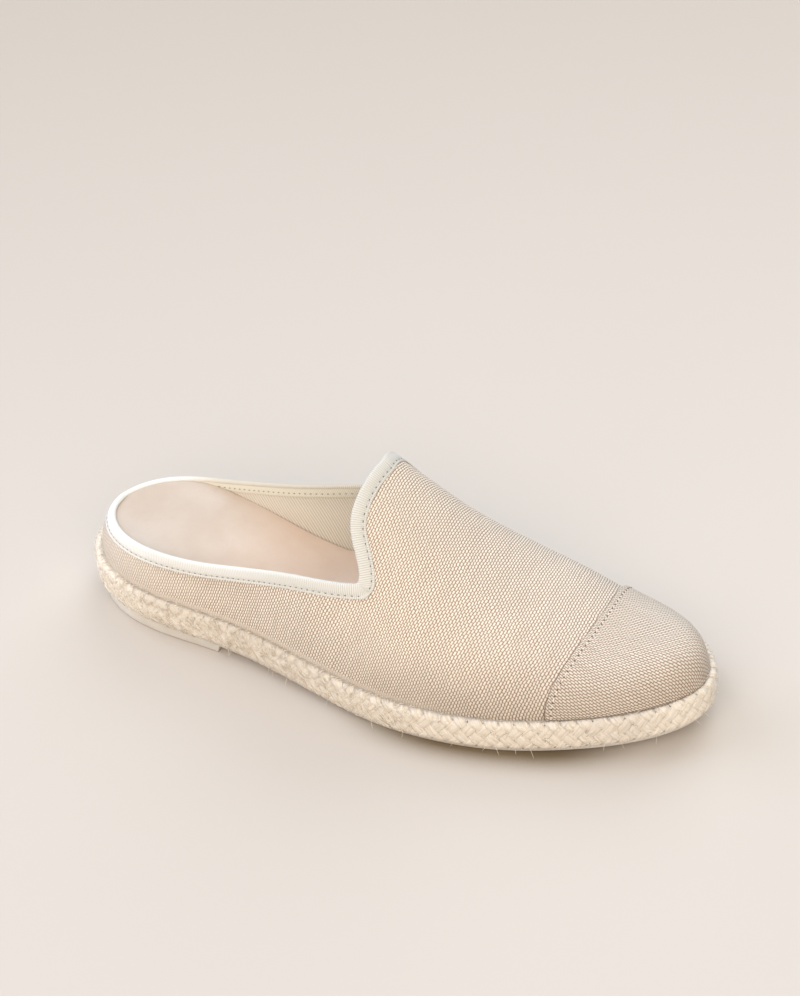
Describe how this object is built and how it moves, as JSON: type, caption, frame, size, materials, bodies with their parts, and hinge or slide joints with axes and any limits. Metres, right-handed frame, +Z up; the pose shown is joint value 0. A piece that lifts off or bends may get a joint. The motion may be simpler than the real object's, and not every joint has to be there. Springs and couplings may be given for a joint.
{
  "type": "espadrille mule",
  "caption": "Slip-on canvas mule with a high vamp, low heel wall, toe cap, ribbon-bound opening, plaited jute ring, leather insole and flat rubber sole.",
  "frame": {"origin": "centre of the shoe's box, on the floor it stands on", "axes": "+X towards the toe, +Y towards the inner side of the foot, +Z up from the floor"},
  "size_m": [0.2918, 0.1018, 0.0969],
  "materials": {
    "sole_rubber": "matt off-white moulded rubber",
    "jute": "matt pale straw plait",
    "canvas": "matt coarse two-tone weave",
    "cap_canvas": "matt coarse two-tone weave",
    "ribbon": "matt ribbed ivory ribbon",
    "insole_leather": "smooth rose-beige leather with a soft sheen"
  },
  "bodies": {
    "root": {"outsole": "sole_rubber", "jute_braid": "jute", "upper": "canvas", "toe_cap": "cap_canvas", "collar_binding": "ribbon", "insole": "insole_leather"}
  },
  "joints": []
}
